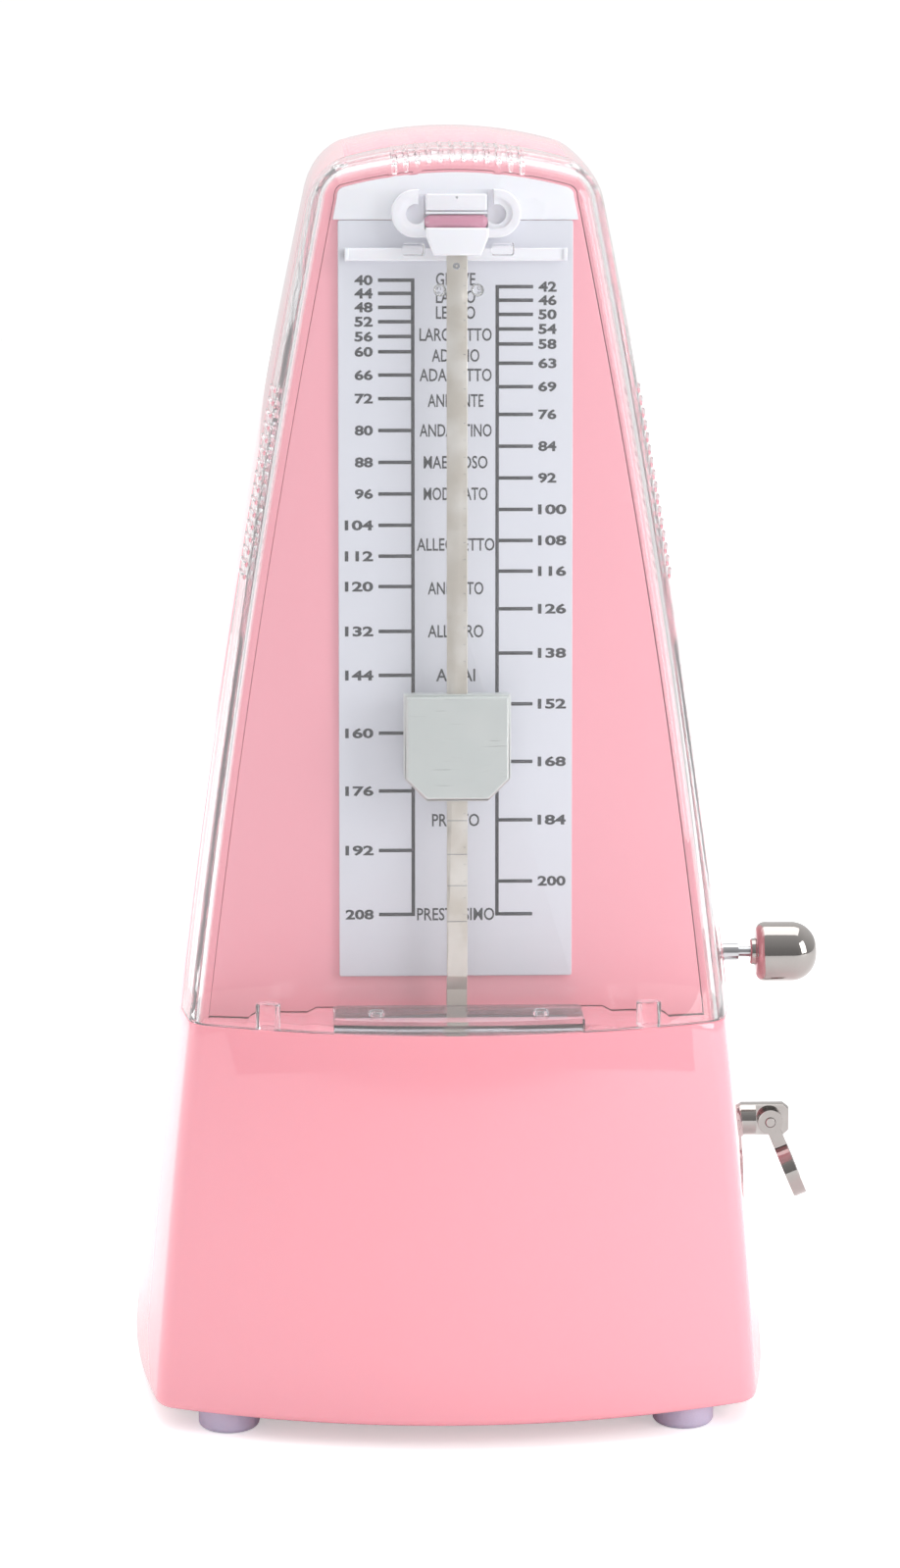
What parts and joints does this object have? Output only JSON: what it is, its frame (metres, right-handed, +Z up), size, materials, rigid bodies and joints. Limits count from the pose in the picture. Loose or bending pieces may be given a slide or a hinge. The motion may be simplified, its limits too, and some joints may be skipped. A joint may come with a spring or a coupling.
{
  "type": "metronome",
  "caption": "Wind-up pendulum metronome: tapered gloss case with clear front cover, tempo scale, sliding weight on a leaning rod, folding winding key and a pull knob for the bell.",
  "frame": {"origin": "on the table, midway between the four feet, in the plane of the pendulum", "axes": "+Z up, front with the scale faces -Y, key and pull knob are on the +X side"},
  "size_m": [0.1225, 0.1118, 0.2193],
  "materials": {
    "case": "gloss",
    "panel": "gloss",
    "clear": "clear",
    "plate": "satin",
    "white": "satin",
    "feet": "matt",
    "base": "matt",
    "rod_steel": "brushed",
    "weight": "satin",
    "chrome": "polished",
    "steel": "turned",
    "spring": "blued",
    "brass": "turned",
    "lead": "cast",
    "zinc": "plated",
    "cam": "matt"
  },
  "bodies": {
    "case": {"housing": "case", "front_panel": "panel", "scale_plate": "plate", "top_bracket": "white", "rod_clip": "white", "base_plate": "base", "feet": "feet", "base_screws": "zinc", "left_frame_plate": "zinc", "right_frame_plate": "zinc", "frame_pillars": "brass", "frame_screws": "zinc", "front_strap": "zinc", "escape_bridge": "brass", "bridge_posts": "brass", "click_screw": "zinc", "click_spring": "spring", "key_bush": "case", "selector_bush": "case", "bell": "chrome", "bell_bracket": "zinc", "bell_screw": "zinc"},
    "cover": {"front_cover": "clear"},
    "pendulum": {"pendulum_rod": "rod_steel", "rod_hub": "brass", "pendulum_bob": "lead", "verge_arbor": "steel", "pallets": "steel"},
    "weight": {"tempo_weight": "weight", "weight_spring": "spring"},
    "barrel": {"barrel_drum": "brass", "barrel_lid": "brass", "great_wheel": "brass", "mainspring": "spring"},
    "winder": {"winding_arbor": "steel", "ratchet_wheel": "steel", "key_shaft": "chrome", "key_pin": "chrome"},
    "wing": {"key_wing": "chrome"},
    "click_pawl": {"click": "steel"},
    "second": {"second_arbor": "steel", "second_pinion": "steel", "second_wheel": "brass"},
    "escape": {"escape_arbor": "steel", "escape_pinion": "steel", "escape_wheel": "brass", "beat_cams": "cam"},
    "selector": {"selector_knob": "chrome", "selector_rod": "steel"},
    "hammer": {"hammer_lever": "steel", "hammer_head": "steel"}
  },
  "joints": [
    {"name": "cover_open", "type": "hinge", "parent": "case", "child": "cover", "pos_m": [0, -0.04886, 0.0716], "axis": [1, 0, 0], "range_deg": [0, 90]},
    {"name": "pendulum_swing", "type": "hinge", "parent": "case", "child": "pendulum", "pos_m": [0, -0.034, 0.05], "axis": [0, 1, 0], "range_deg": [-28, 28]},
    {"name": "weight_slide", "type": "slide", "parent": "pendulum", "child": "weight", "axis": [0, 0.1253, 0.9921], "range_m": [-0.03, 0.07]},
    {"name": "barrel_turn", "type": "hinge", "parent": "case", "child": "barrel", "pos_m": [0, 0.01, 0.039], "axis": [1, 0, 0], "continuous": true},
    {"name": "second_turn", "type": "hinge", "parent": "case", "child": "second", "pos_m": [0, -0.01075, 0.03576], "axis": [1, 0, 0], "continuous": true},
    {"name": "escape_turn", "type": "hinge", "parent": "case", "child": "escape", "pos_m": [0, -0.008, 0.05], "axis": [1, 0, 0], "continuous": true},
    {"name": "key_turn", "type": "hinge", "parent": "case", "child": "winder", "pos_m": [0, 0.01, 0.039], "axis": [1, 0, 0], "continuous": true},
    {"name": "key_fold", "type": "hinge", "parent": "winder", "child": "wing", "pos_m": [0.05925, 0.01, 0.039], "axis": [0, 1, 0], "range_deg": [-140, 20]},
    {"name": "click_lift", "type": "hinge", "parent": "case", "child": "click_pawl", "pos_m": [0, 0.0038, 0.0286], "axis": [1, 0, 0], "range_deg": [0, 8]},
    {"name": "knob_pull", "type": "slide", "parent": "case", "child": "selector", "axis": [1, 0, 0], "range_m": [0, 0.01]},
    {"name": "hammer_swing", "type": "hinge", "parent": "selector", "child": "hammer", "pos_m": [0, -0.005, 0.0745], "axis": [1, 0, 0], "range_deg": [-6, 3]}
  ],
  "couplings": [
    {"joint": "pendulum_swing", "follows": "cover_open", "ratio": 0.31},
    {"joint": "second_turn", "follows": "escape_turn", "ratio": -0.20833},
    {"joint": "barrel_turn", "follows": "escape_turn", "ratio": 0.034722}
  ]
}
